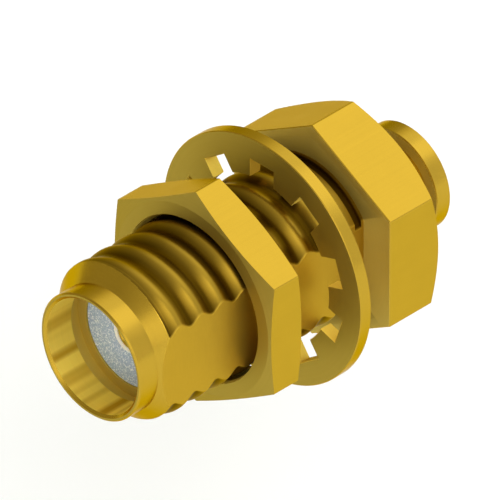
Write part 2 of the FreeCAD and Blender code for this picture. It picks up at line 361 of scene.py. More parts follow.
@dataclass
class Hexagon:
    """The outline of a hexagon bar whose flats face +Y and -Y, with its corners slightly worn."""

    across_flats_mm: float
    corner_radius_mm: float = 0.06

    def corner_span(self) -> float:
        """Half the angle that a worn corner takes up, seen from the axis."""
        reach = self.across_flats_mm / 2 / math.cos(HALF_SIDE)
        return math.atan(self.corner_radius_mm * math.tan(HALF_SIDE) / reach)

    def radius(self, angle: np.ndarray, inset_mm: float = 0.0) -> np.ndarray:
        """Gives the distance of the outline from the axis.

        Args:
            angle: The directions, counted from +Y towards +Z.
            inset_mm: How far the flats are moved towards the axis.

        Returns:
            The radius in each direction, in millimetres.
        """
        apothem = self.across_flats_mm / 2 - inset_mm
        off_flat = np.abs((angle + HALF_SIDE) % (2 * HALF_SIDE) - HALF_SIDE)
        to_corner = HALF_SIDE - off_flat
        centre = (apothem - self.corner_radius_mm) / math.cos(HALF_SIDE)
        inside = np.maximum(self.corner_radius_mm ** 2 - (centre * np.sin(to_corner)) ** 2, 0)
        rounded = centre * np.cos(to_corner) + np.sqrt(inside)
        return np.where(to_corner < self.corner_span(), rounded, apothem / np.cos(off_flat))

    def crown_fall(self, angle: np.ndarray, radius_mm: float, slope_deg: float) -> np.ndarray:
        """How far a crown that starts at a radius has fallen back where it meets the flats."""
        return (self.radius(angle) - radius_mm) * math.tan(math.radians(slope_deg))

    def columns(self, step_deg: float, extra: Iterable[float] = ()) -> np.ndarray:
        """Spaces the columns evenly, with a cluster at each corner and any extra ones.

        Args:
            step_deg: The spacing, a divisor of thirty degrees.
            extra: Further angles that need a column, in radians.

        Returns:
            The sorted angles, from just above minus half a turn to half a turn.
        """
        even = np.radians(np.arange(-180, 180, step_deg)) + np.radians(step_deg)
        corners = np.radians(np.arange(-150, 180, 60))
        wear = self.corner_span() * np.array([-1, -0.5, 0.5, 1])
        cluster = (corners[:, None] + wear[None, :]).ravel()
        return np.unique(np.round(np.concatenate((even, cluster, list(extra))), 6))


@dataclass(frozen=True)
class ThreadForm:
    """A single right-hand groove with flats at its crest and its root, their edges worn round."""

    # The picture's turns are 1.085 mm apart
    pitch_mm: float = 1.085
    depth_mm: float = 0.14
    crest_width_mm: float = 0.16
    root_width_mm: float = 0.16
    ring_step_mm: float = 0.04
    # How far the corners of the groove are worn round, as a share of a flank
    wear: float = 0.25
    # Share of painted shade that the crests get on a straight thread, and how it thins up the flanks
    crest_painted_shade: float = 0.23
    painted_shade_spread: float = 1.35

    def flank_mm(self) -> float:
        """The width of one flank, along the axis."""
        return (self.pitch_mm - self.crest_width_mm - self.root_width_mm) / 2

    def stations(self, places: np.ndarray, radii: Samples, painted_shade: float,
                 flat_mm: float = math.inf) -> list[Station]:
        """Lays the close rings that the thread is cut into.

        Args:
            places: Where the rings are, in millimetres along the axis.
            radii: The radius of the blank, one for all or one for each ring.
            painted_shade: The share of painted shade that even the crests get.
            flat_mm: The height of the flat that is milled across the thread, if there is one.

        Returns:
            The stations, with crisp rings at both ends.
        """
        last, flat = len(places) - 1, float(flat_mm < math.inf)
        blank = np.broadcast_to(radii, places.shape)
        # The border of the flat is an edge only where the blank stands well above the flat
        return [Station(x, r, crisp=i in (0, last), edged=r > flat_mm + self.depth_mm / 2,
                        thread=1.0, flat=flat, painted_shade=painted_shade)
                for i, (x, r) in enumerate(zip(places, blank))]

    def places(self, start: float, end: float, steps_per_ring: int = 1) -> np.ndarray:
        """Spaces rings evenly, closely enough for the flanks to look round."""
        count = math.ceil(abs(end - start) / self.ring_step_mm) * steps_per_ring
        return np.linspace(start, end, count + 1)


class TreeInput(Enum):
    """The named number inputs of the geometry trees."""

    PITCH = "Pitch"
    DEPTH = "Depth"
    ROOT = "Half root width"
    FLANK = "Flank width"
    START = "Groove start"
    CREST = "Crest radius"
    FLAT = "Flat height"
    BORDER = "Border column"
    COUNT = "Count"
    WIDTH = "Slot width"
    LENGTH = "Slot length"
    FRONT = "Front end"
    REACH = "Reach"


@dataclass
class ShapeTree:
    """A geometry tree with named inputs, whose result is turned into a plain mesh."""

    name: str
    inputs: dict[TreeInput, float]
    tree: bpy.types.NodeTree = field(init=False)
    source: bpy.types.Node = field(init=False)

    def __post_init__(self) -> None:
        """Starts the tree with its geometry, its number inputs and its material input."""
        self.tree = bpy.data.node_groups.new(self.name, "GeometryNodeTree")
        face = self.tree.interface
        face.new_socket("Geometry", in_out="INPUT", socket_type="NodeSocketGeometry")
        face.new_socket("Geometry", in_out="OUTPUT", socket_type="NodeSocketGeometry")
        for key in self.inputs:
            kind = "NodeSocketInt" if key is TreeInput.COUNT else "NodeSocketFloat"
            face.new_socket(key.value, in_out="INPUT", socket_type=kind)
        face.new_socket("Material", in_out="INPUT", socket_type="NodeSocketMaterial")
        self.source = add_node(self.tree, "NodeGroupInput")

    def given(self, key: TreeInput) -> Wire:
        """Gives one of the tree's own inputs as a wire."""
        return Wire(self.tree, self.source.outputs[key.value])

    def copies(self, geometry: bpy.types.NodeSocket, sweep: float) -> bpy.types.NodeSocket:
        """Sets as many copies round the axis as the tree's count says.

        Args:
            geometry: What is copied.
            sweep: The angle that all the copies share out evenly, in radians.

        Returns:
            The copies, as real geometry.
        """
        spots = add_node(self.tree, "GeometryNodeMeshLine", {
            "Count": self.given(TreeInput.COUNT), "Offset": (0.0, 0.0, 0.0)})
        index = Wire(self.tree, add_node(self.tree, "GeometryNodeInputIndex").outputs[0])
        turned = add_node(self.tree, "ShaderNodeCombineXYZ", {
            0: index / self.given(TreeInput.COUNT) * sweep})
        placed = add_node(self.tree, "GeometryNodeInstanceOnPoints", {
            "Points": spots.outputs[0], "Instance": geometry, "Rotation": turned.outputs[0]})
        real = add_node(self.tree, "GeometryNodeRealizeInstances", {"Geometry": placed.outputs[0]})
        return real.outputs[0]

    def close(self, geometry: bpy.types.NodeSocket) -> None:
        """Ends the tree with real geometry that carries the piece's material.

        Args:
            geometry: The finished shape.
        """
        real = add_node(self.tree, "GeometryNodeRealizeInstances", {"Geometry": geometry})
        dressed = add_node(self.tree, "GeometryNodeSetMaterial", {
            "Geometry": real.outputs[0], "Material": self.source.outputs["Material"]})
        add_node(self.tree, "NodeGroupOutput", {"Geometry": dressed.outputs[0]})

    def apply(self, piece: bpy.types.Object, material: bpy.types.Material) -> None:
        """Runs the tree on a piece and keeps the result as the piece's own plain mesh.

        Args:
            piece: The object that holds the blank.
            material: The finish that the tree sets.
        """
        modifier = piece.modifiers.new(self.name, "NODES")
        modifier.node_group = self.tree
        sockets = {item.name: item.identifier for item in self.tree.interface.items_tree
                   if item.in_out == "INPUT"}
        for key, value in self.inputs.items():
            modifier[sockets[key.value]] = value
        modifier[sockets["Material"]] = material
        graph = bpy.context.evaluated_depsgraph_get()
        made = bpy.data.meshes.new_from_object(
            piece.evaluated_get(graph), preserve_all_data_layers=True, depsgraph=graph)
        made.name = piece.name
        piece.modifiers.remove(modifier)
        piece.data = made


def thread_tree(form: ThreadForm, start_mm: float, crest_mm: float, flat_mm: float, border: float,
                outward: bool) -> ShapeTree:
    """Makes the tree that cuts a thread into a turned blank and mills the flat across it.

    Args:
        form: The thread's sizes.
        start_mm: Where the groove starts, straight below the axis.
        crest_mm: The radius of the crests.
        flat_mm: The height of the flat over the axis.
        border: The column angle that lies on the edge of the flat.
        outward: Whether the groove is cut away from the axis, as in a nut.

    Returns:
        The finished tree.
    """
    shape = ShapeTree("thread_cut_outward" if outward else "thread_and_flat", {
        TreeInput.PITCH: form.pitch_mm * MM,
        TreeInput.DEPTH: form.depth_mm * MM * (-1 if outward else 1),
        TreeInput.ROOT: form.root_width_mm / 2 * MM,
        TreeInput.FLANK: form.flank_mm() * MM,
        TreeInput.START: start_mm * MM,
        TreeInput.CREST: crest_mm * MM,
        TreeInput.FLAT: flat_mm * MM,
        TreeInput.BORDER: border,
    })
    pitch, depth, half_root, flank, start, crest, flat, border_column = map(
        shape.given, shape.inputs)
    tree = shape.tree
    place = add_node(tree, "GeometryNodeInputPosition")
    split = add_node(tree, "ShaderNodeSeparateXYZ", {0: place.outputs[0]})
    along, across, up = (Wire(tree, socket) for socket in split.outputs)
    blank = (across * across + up * up).calc("SQRT")
    column, cut_share, flat_share, kept = (
        Wire(tree, add_node(tree, "GeometryNodeInputNamedAttribute", {"Name": name},
                            data_type="FLOAT").outputs["Attribute"])
        for name in ("column_angle", "thread_share", "flat_share", "painted_shade_share"))
    deeper = "MAXIMUM" if outward else "MINIMUM"

    def from_root(angle: Wire) -> Wire:
        """Measures the way to the middle of the nearest turn of the groove.

        Args:
            angle: The direction from the axis, counted from +Y towards +Z.

        Returns:
            The distance along the axis, to the first turn for all that lies behind its start.
        """
        # A quarter turn on, so that turns are counted from straight below the axis
        turns = (along - start) / pitch - (angle / FULL_TURN + 0.25).calc("FRACT")
        nearest = (turns + 0.5).calc("FLOOR").calc("MAXIMUM", 0.0)
        return (turns - nearest).calc("ABSOLUTE") * pitch

    def cut_radius(angle: Wire) -> Wire:
        """Works out the radius after the thread is cut, with worn corners at crest and root.

        Args:
            angle: The direction from the axis.

        Returns:
            The radius in that direction.
        """
        rise = (from_root(angle) - half_root) / flank
        share = 1.0 - rise.calc("SMOOTH_MAX", 0.0, form.wear).calc("SMOOTH_MIN", 1.0, form.wear)
        groove = crest - share * cut_share * depth
        return cut_share.calc("GREATER_THAN", 0.5).choose(blank, blank.calc(deeper, groove))

    side, size = column.calc("SIGN"), column.calc("ABSOLUTE")
    edge = border_column
    for _ in range(FLAT_EDGE_STEPS):
        edge = (flat / cut_radius(side * edge)).calc("MINIMUM", 1.0).calc("ARCCOSINE").calc(
            "MAXIMUM", math.radians(FLAT_TIP_DEG))
    inner = size / border_column * edge
    outer = edge + (size - border_column) * (math.pi - edge) / (math.pi - border_column)
    beyond = size.calc("GREATER_THAN", border_column + SLACK_RAD)
    angle = flat_share.choose(column, side * beyond.choose(inner, outer))
    cut = cut_radius(angle)
    lean = angle.calc("COSINE")
    over = (cut * lean).calc("GREATER_THAN", flat - SLACK_MM * MM) * flat_share.calc(
        "GREATER_THAN", FLAT_GONE)
    radius = over.choose(cut, flat / lean)
    moved = add_node(tree, "ShaderNodeCombineXYZ", {
        0: along, 1: radius * lean, 2: radius * angle.calc("SINE")})
    is_cut = (cut - blank).calc("ABSOLUTE").calc("GREATER_THAN", SLACK_MM * MM)
    # Painted shade: darkest at the root of the groove, thinning towards the crest, and none on the milled
    # flat
    near = (1.0 - from_root(angle) / (pitch * 0.5)).calc("POWER", form.painted_shade_spread)
    painted_shade = (kept + near * is_cut * (1.0 - kept)) * (1.0 - over)
    geometry = shape.source.outputs["Geometry"]
    for name, value in (("root_painted_shade", painted_shade), ("milled_share", over)):
        geometry = add_node(tree, "GeometryNodeStoreNamedAttribute", {
            "Geometry": geometry, "Name": name, "Value": value},
            data_type="FLOAT", domain="POINT").outputs[0]
    placed = add_node(tree, "GeometryNodeSetPosition", {
        "Geometry": geometry, "Position": moved.outputs[0]})
    shape.close(placed.outputs[0])
    return shape


def repeat_tree(count: int) -> ShapeTree:
    """Makes the tree that sets copies of one sector round the axis and welds their sides.

    Args:
        count: How many sectors make the full turn.

    Returns:
        The finished tree.
    """
    shape = ShapeTree("sectors_round_axis", {TreeInput.COUNT: count})
    ring = shape.copies(shape.source.outputs["Geometry"], FULL_TURN)
    welded = add_node(shape.tree, "GeometryNodeMergeByDistance", {
        "Geometry": ring, "Distance": WELD_MM * MM})
    shape.close(welded.outputs[0])
    return shape


def slot_tree(front_mm: float, length_mm: float, width_mm: float, reach_mm: float) -> ShapeTree:
    """Makes the tree that saws two crossed slots into the front of the contact.

    Args:
        front_mm: Where the contact's front end is.
        length_mm: How far the slots reach back from it.
        width_mm: The width of the saw.
        reach_mm: How far the saw reaches to either side of the axis.

    Returns:
        The finished tree.
    """
    shape = ShapeTree("crossed_saw_slots", {
        TreeInput.FRONT: front_mm * MM,
        TreeInput.LENGTH: length_mm * MM,
        TreeInput.WIDTH: width_mm * MM,
        TreeInput.REACH: reach_mm * MM,
        TreeInput.COUNT: 2,
    })
    front, length, width, reach, _ = map(shape.given, shape.inputs)
    tree = shape.tree
    size = add_node(tree, "ShaderNodeCombineXYZ", {0: length * 2.0, 1: reach * 2.0, 2: width})
    blade = add_node(tree, "GeometryNodeMeshCube", {"Size": size.outputs[0]})
    centre = add_node(tree, "ShaderNodeCombineXYZ", {0: front})
    placed = add_node(tree, "GeometryNodeTransform", {
        "Geometry": blade.outputs[0], "Translation": centre.outputs[0]})
    # Each of the two blades saws both sides of the contact, so half a turn holds them
    blades = shape.copies(placed.outputs[0], FULL_TURN / 2)
    sawn = add_node(tree, "GeometryNodeMeshBoolean", {
        "Mesh 1": shape.source.outputs["Geometry"], "Mesh 2": blades},
        operation="DIFFERENCE", solver="EXACT")
    shape.close(sawn.outputs[0])
    return shape


@dataclass(frozen=True)
class GoldPlate:
    """Gold plate over nickel on turned brass, left as plated, so satin and a little uneven.

    Turned and drawn faces show a clear yellow. The bore is painted brightest, with painted reflection
    streaks along it, and seats are painted paler, both as painted light in the gaps. Faces cut across
    the bar scatter more and are painted olive as painted shade, and the thread's roots are painted
    dark brown as painted shade.
    """

    name: str
    turned: str = "#BE9B33"
    drawn: str = "#BD9A30"
    # Painted shade: faces cut across the bar are painted a darker olive copy of the gold
    faced_painted_shade: str = "#AC9541"
    # Painted light: the bore is painted a brighter gold than the outside, to lift the shade inside it
    bored_painted_light: str = "#FFE76C"
    # Painted reflection: the darker streaks along the bore
    bore_painted_reflection_streaks: str = "#CEA62C"
    # Painted light: seats and steps in the gaps are painted paler, to lift their shade
    seat: str = "#D4C068"
    # Painted shade: the thread's roots are painted this dark brown, where shade falls in the groove
    root: str = "#4A3505"
    # Real gold keeps its colour at a glance, so the rim tint is gold as well
    edge_tint: str = "#E4CE93"
    roughness: float = 0.24
    faced_roughness: float = 0.55
    bored_roughness: float = 0.66
    # Feed marks of a lathe are about 0.05 mm apart; 0.09 mm is as fine as the picture can show
    mark_mm: float = 0.09
    mark_depth_mm: float = 0.01
    mark_strength: float = 0.10
    # Clouding of the plate, in patches of about a millimetre
    cloud_mm: float = 1.1
    # How much the marks and the clouding change the brightness, and the clouding the roughness
    mark_tone: float = 0.08
    cloud_tone: float = 0.10
    cloud_roughness: float = 0.10
    # Painted reflection: darker lengthwise streaks in a bore, a few tenths of its radius wide
    streak_share: float = 0.3
    # Painted streaks start where the noise falls below this level, and deepen this fast
    streak_start: float = 0.55
    streak_contrast: float = 5.0
    # How fast the painted shade spreads up the flanks from the root
    painted_shade_power: float = 1.9
    # The thread's painted-shade part is made rougher than the plain plate, and so is the milled flat
    # across it
    painted_shade_roughness: float = 0.12
    milled_roughness: float = 0.26

    def material(self) -> bpy.types.Material:
        """Makes the node material.

        Returns:
            The material.
        """
        material = bpy.data.materials.new(self.name)
        tree = empty_tree(material)
        spot = add_node(tree, "ShaderNodeTexCoord")
        split = add_node(tree, "ShaderNodeSeparateXYZ", {0: spot.outputs["Object"]})
        along, across, up = (Wire(tree, socket) for socket in split.outputs)
        radius = (across * across + up * up).calc("SQRT")
        kind, root, milled = (
            Wire(tree, add_node(tree, "ShaderNodeAttribute", attribute_name=name).outputs["Fac"])
            for name in ("surface_kind", "root_painted_shade", "milled_share"))
        is_flat, is_faced_painted_shade_and_rough, is_bored_painted_light_and_rough, is_seat_painted_light_and_rough = (
            kind.calc("COMPARE", float(surface.value), KIND_SLACK)
            for surface in (Surface.FLAT, Surface.FACED, Surface.BORED, Surface.SEAT))

        # Rings round the axis on turned work, lines along the bar on its drawn flats, and painted
        # reflection streaks lengthwise in a bore
        ring_place, line_place, round_place = (
            add_node(tree, "ShaderNodeCombineXYZ", {0: first, 1: second}).outputs[0]
            for first, second in ((along, radius), (across, up), (across / radius, up / radius)))
        rings, lines, cloud, painted_reflection_noise = (
            Wire(tree, add_node(tree, "ShaderNodeTexNoise", {
                "Vector": place, "Scale": 1 / size, "Detail": detail,
                "Roughness": coarseness}).outputs[0])
            for place, size, detail, coarseness in (
                (ring_place, self.mark_mm * MM, 2.0, 0.6),
                (line_place, self.mark_mm * MM, 2.0, 0.6),
                (spot.outputs["Object"], self.cloud_mm * MM, 3.0, 0.5),
                (round_place, self.streak_share, 1.0, 0.5)))
        mark = is_flat.choose(rings, lines)
        # Painted reflection: darker lengthwise streaks over the bright bore stand for the bands that it
        # reflects
        deep = ((self.streak_start - painted_reflection_noise) * self.streak_contrast).clamped()
        bore_painted_light_mix = add_node(tree, "ShaderNodeMix", {
            0: deep, 6: linear(self.bored_painted_light), 7: linear(self.bore_painted_reflection_streaks)}, data_type="RGBA")

        # Lit and shaded copies of the gold: faces cut across the bar are painted olive as painted shade,
        # the bore and the seats paler as painted light
        colour = linear(self.turned)
        for share, other in ((is_flat, linear(self.drawn)), (is_faced_painted_shade_and_rough, linear(self.faced_painted_shade)),
                             (is_bored_painted_light_and_rough, bore_painted_light_mix.outputs[2]), (is_seat_painted_light_and_rough, linear(self.seat))):
            colour = add_node(tree, "ShaderNodeMix", {0: share, 6: colour, 7: other},
                              data_type="RGBA").outputs[2]
        # Painted shade: towards the thread's roots the colour goes over to the dark brown
        unshaded = (1.0 - root).calc("POWER", self.painted_shade_power)
        painted_shade = add_node(tree, "ShaderNodeMix", {
            0: unshaded, 6: linear(self.root), 7: colour}, data_type="RGBA")
        even = 1.0 - (self.cloud_tone + self.mark_tone) * NOISE_MIDDLE
        tone = add_node(tree, "ShaderNodeHueSaturation", {
            "Color": painted_shade.outputs[2],
            "Value": cloud * self.cloud_tone + mark * self.mark_tone + even})
        inside = is_bored_painted_light_and_rough.calc("MAXIMUM", is_seat_painted_light_and_rough)
        outside = is_faced_painted_shade_and_rough.choose(self.roughness, self.faced_roughness)
        rough = (inside.choose(outside, self.bored_roughness)
                 + (cloud - NOISE_MIDDLE) * self.cloud_roughness
                 + root.calc("GREATER_THAN", PAINTED_SHADE_ROUGH_FROM) * self.painted_shade_roughness
                 + milled * self.milled_roughness)
        bump = add_node(tree, "ShaderNodeBump", {
            "Height": mark, "Strength": self.mark_strength, "Distance": self.mark_depth_mm * MM})
        shader = add_node(tree, "ShaderNodeBsdfPrincipled", {
            "Base Color": tone.outputs[0], "Metallic": 1.0, "Roughness": rough,
            "Specular Tint": linear(self.edge_tint), "Normal": bump.outputs[0]})
        add_node(tree, "ShaderNodeOutputMaterial", {"Surface": shader.outputs[0]})
        return material


@dataclass(frozen=True)
class Fluoropolymer:
    """Machined white fluoropolymer: a soft grey-white with fine pale flecks and a waxy sheen."""

    name: str
    ground: str = "#9AB2D8"
    fleck: str = "#EAF3FF"
    # Painted light: the wall of the contact's hole is painted near white, brighter than the rest of the
    # bead
    hole: str = "#FBFEFF"
    roughness: float = 0.5
    ior: float = 1.36
    # A little light passes under the surface, which makes it waxy
    glow_share: float = 0.15
    glow_depth_mm: float = 0.2
    # The flecks of the cut surface are finer than a pixel, so they are drawn as wide as one, 0.06 mm
    fleck_mm: float = 0.06
    fleck_depth_mm: float = 0.01
    fleck_strength: float = 0.12
    fleck_contrast: float = 8.0

    def material(self) -> bpy.types.Material:
        """Makes the node material.

        Returns:
            The material.
        """
        material = bpy.data.materials.new(self.name)
        tree = empty_tree(material)
        spot = add_node(tree, "ShaderNodeTexCoord")
        grain = Wire(tree, add_node(tree, "ShaderNodeTexNoise", {
            "Vector": spot.outputs["Object"], "Scale": 1 / (self.fleck_mm * MM),
            "Detail": 3.0, "Roughness": 0.7}).outputs[0])
        share = ((grain - NOISE_MIDDLE) * self.fleck_contrast).clamped()
        colour = add_node(tree, "ShaderNodeMix", {
            0: share, 6: linear(self.ground), 7: linear(self.fleck)}, data_type="RGBA")
        kind = Wire(tree, add_node(tree, "ShaderNodeAttribute",
                                   attribute_name="surface_kind").outputs["Fac"])
        # Painted light: the hole's wall is painted near white
        hole_painted_light = add_node(tree, "ShaderNodeMix", {
            0: kind.calc("COMPARE", float(Surface.BORED.value), KIND_SLACK), 6: colour.outputs[2],
            7: linear(self.hole)}, data_type="RGBA")
        bump = add_node(tree, "ShaderNodeBump", {
            "Height": grain, "Strength": self.fleck_strength, "Distance": self.fleck_depth_mm * MM})
        shader = add_node(tree, "ShaderNodeBsdfPrincipled", {
            "Base Color": hole_painted_light.outputs[2], "Roughness": self.roughness, "IOR": self.ior,
            "Subsurface Weight": self.glow_share, "Subsurface Scale": self.glow_depth_mm * MM,
            "Normal": bump.outputs[0]})
        add_node(tree, "ShaderNodeOutputMaterial", {"Surface": shader.outputs[0]})
        return material


def finish_piece(piece: bpy.types.Object, body: Body, node: str) -> None:
    """Makes a piece ride on its body in place of its node, and logs it.

    Args:
        piece: The finished object.
        body: The body that it moves with.
        node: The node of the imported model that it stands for.
    """
    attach(piece, body.value)
    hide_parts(node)
    LOG.info("%s: %d faces on %s", piece.name, len(piece.data.polygons), body.value)


@dataclass
class JackBody:
    """The one-piece body: nose, threaded and flatted barrel, hexagon, neck and collar."""

    form: ThreadForm
    finish: GoldPlate
    width_over_flat_mm: float = 5.83
    nose_radius_mm: float = 2.545
    nose_length_mm: float = 0.90
    nose_break_mm: float = 0.06
    mating_depth_mm: float = 1.31
    mouth_break_mm: float = 0.10
    relief_radius_mm: float = 2.51
    seat_depth_mm: float = 1.85
    bead_radius_mm: float = 2.09
    hexagon_thickness_mm: float = 2.60
    crown_radius_mm: float = 3.80
    crown_angle_deg: float = 30.0
    neck_radius_mm: float = 1.66
    collar_radius_mm: float = 2.15
    collar_length_mm: float = 0.70
    core_hole_radius_mm: float = 0.86
    shoulder_mm: float = -1.40
    web_mm: float = 0.35
    cable_lead_in_mm: float = 0.10
    land_width_mm: float = 0.12
    relief_width_mm: float = 0.33
    edge_mm: float = 0.035
    # Where the groove starts below the axis, in turns forward of the panel face
    groove_start_turns: float = 0.75
    # Share of painted shade at the panel face, at the end of the land and in the relief
    face_painted_shade: float = 0.3
    land_painted_shade: float = 0.5
    relief_painted_shade: float = 0.8
    nose_rings: int = 24
    # The groove runs out over the cone at a low angle, which takes closer rings
    cone_detail: int = 3
    column_step_deg: float = 2.5

    def __post_init__(self) -> None:
        """Takes the ends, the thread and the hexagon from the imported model."""
        low, high = box_mm("body")
        self.tip, self.rear = high.x, low.x
        self.hexagon = Hexagon(high.y - low.y)
        self.thread_radius = mount("coupling_thread")["dims"]["r_mm"]
        self.flat = self.width_over_flat_mm - self.thread_radius
        self.border = math.acos(self.flat / self.thread_radius)
        self.columns = self.hexagon.columns(self.column_step_deg, (-self.border, self.border))

    def outside(self) -> list[Station]:
        """Lays the rings of the barrel, the cone and the nose.

        Returns:
            The stations, from the panel face forwards.
        """
        cone_front = self.tip - self.nose_length_mm
        cone_rear = cone_front - (self.thread_radius - self.nose_radius_mm)
        floor = self.thread_radius - self.form.depth_mm
        land, start = self.land_width_mm, self.land_width_mm + self.relief_width_mm
        rings = [Station(x, r, edged=True, flat=1.0, painted_shade=painted_shade) for x, r, painted_shade in (
            (0.0, self.thread_radius, self.face_painted_shade), (land, self.thread_radius, self.land_painted_shade),
            (land, floor, self.relief_painted_shade), (start, floor, self.relief_painted_shade))]
        rings += self.form.stations(self.form.places(start, cone_rear), self.thread_radius,
                                    self.form.crest_painted_shade, self.flat)
        cone = self.form.places(cone_rear, cone_front, self.cone_detail)[1:]
        rings += self.form.stations(cone, self.thread_radius - (cone - cone_rear), 0.0, self.flat)
        nose_end = self.tip - self.nose_break_mm
        # Columns drawn together by the tip of the flat spread out again along the nose
        for share in np.linspace(0, 1, self.nose_rings + 1)[1:]:
            flat = FLAT_GONE * (1 + math.cos(share * math.pi)) / 2
            rings.append(Station(cone_front + share * (nose_end - cone_front), self.nose_radius_mm,
                                 crisp=share == 1, flat=flat))
        return rings

    def bore(self) -> list[Station]:
        """Lays the rings of the nose's end and of the bore.

        Returns:
            The stations, from the mouth to the rear end.
        """
        mating = mount("mating_bore")["dims"]["r_mm"]
        cable = mount("cable_bore")["dims"]["r_mm"]
        lip, seat = self.tip - self.mating_depth_mm, self.tip - self.seat_depth_mm
        web_rear = self.shoulder_mm - self.web_mm
        # The plate paints the BORED band brightest and the SEAT bands paler, as painted light inside the
        # nose, and the FACED bands olive, as painted shade
        return [
            Station(self.tip, self.nose_radius_mm - self.nose_break_mm, Surface.FACED),
            Station(self.tip, mating + self.mouth_break_mm),
            Station(self.tip - self.mouth_break_mm, mating, Surface.BORED),
            Station(lip, mating, Surface.SEAT),
            Station(lip, self.relief_radius_mm, Surface.SEAT),
            Station(seat, self.relief_radius_mm, Surface.SEAT),
            Station(seat, self.bead_radius_mm, Surface.SEAT),
            Station(self.shoulder_mm, self.bead_radius_mm, Surface.FACED),
            Station(self.shoulder_mm, self.core_hole_radius_mm),
            Station(web_rear, self.core_hole_radius_mm, Surface.FACED),
            Station(web_rear, cable),
            Station(self.rear + self.cable_lead_in_mm, cable),
            Station(self.rear, cable + self.cable_lead_in_mm, Surface.FACED),
        ]

    def tail(self) -> list[Station]:
        """Lays the rings of the collar, the neck and the hexagon.

        Returns:
            The stations, from the rear end forwards.
        """
        edge = self.edge_mm
        collar_front = self.rear + self.collar_length_mm
        back = -self.hexagon_thickness_mm
        outline = self.hexagon.radius(self.columns)
        fall = self.hexagon.crown_fall(self.columns, self.crown_radius_mm, self.crown_angle_deg)
        # The collar's front and the hexagon's front are SEAT, painted paler as painted light in the narrow
        # gaps; the hexagon's back is FACED, painted olive as painted shade
        return [
            Station(self.rear, self.collar_radius_mm - edge),
            Station(self.rear + edge, self.collar_radius_mm),
            Station(collar_front - edge, self.collar_radius_mm),
            Station(collar_front, self.collar_radius_mm - edge, Surface.SEAT),
            Station(collar_front, self.neck_radius_mm),
            Station(back, self.neck_radius_mm, Surface.FACED),
            Station(back, self.crown_radius_mm),
            Station(back + fall, outline, Surface.FLAT),
            Station(-edge, outline),
            Station(0.0, self.hexagon.radius(self.columns, edge), Surface.SEAT),
        ]

    def build(self) -> None:
        """Makes the body as one closed skin, cuts its thread and flat, and dresses it."""
        borders = tuple(int(np.argmin(np.abs(self.columns - a))) for a in (-self.border, self.border))
        piece = Loft("threaded_body", self.columns, self.outside() + self.bore() + self.tail(),
                     borders).build()
        start = self.groove_start_turns * self.form.pitch_mm
        thread_tree(self.form, start, self.thread_radius, self.flat, self.border,
                    outward=False).apply(piece, self.finish.material())
        finish_piece(piece, Body.JACK, "body")


@dataclass
class HexNut:
    """The thin nut: a hexagon crowned on both sides, with a countersunk threaded hole."""

    form: ThreadForm
    finish: GoldPlate
    bore_radius_mm: float = 3.225
    mouth_radius_mm: float = 3.36
    crown_radius_mm: float = 3.88
    crown_angle_deg: float = 15.0
    column_step_deg: float = 2.5

    def build(self) -> None:
        """Makes the nut as one closed skin and cuts its thread away from the axis."""
        low, high = box_mm("hex_nut")
        hexagon = Hexagon(high.y - low.y)
        columns = hexagon.columns(self.column_step_deg)
        outline = hexagon.radius(columns)
        fall = hexagon.crown_fall(columns, self.crown_radius_mm, self.crown_angle_deg)
        sink = self.mouth_radius_mm - self.bore_radius_mm
        places = self.form.places(low.x + sink, high.x - sink)
        # The threaded hole is BORED, painted brightest as painted light
        stations = [replace(s, surface=Surface.BORED) for s in self.form.stations(
            places, self.bore_radius_mm, self.form.crest_painted_shade)]
        # The front is FACED, painted olive as painted shade, and the back is SEAT, painted paler as
        # painted light
        stations += [
            Station(high.x, self.mouth_radius_mm, Surface.FACED),
            Station(high.x, self.crown_radius_mm, Surface.FACED),
            Station(high.x - fall, outline, Surface.FLAT),
            Station(low.x + fall, outline, Surface.SEAT),
            Station(low.x, self.crown_radius_mm, Surface.SEAT),
            Station(low.x, self.mouth_radius_mm, Surface.BORED),
        ]
        piece = Loft("thin_hex_nut", columns, stations).build()
        # The groove starts a turn behind the nut, so it is whole from face to face. A nut has no
        # flat, so the height and the border column that are passed for one change nothing
        thread_tree(self.form, low.x - self.form.pitch_mm, self.bore_radius_mm, self.bore_radius_mm,
                    math.pi / 4, outward=True).apply(piece, self.finish.material())
        finish_piece(piece, Body.NUT, "hex_nut")


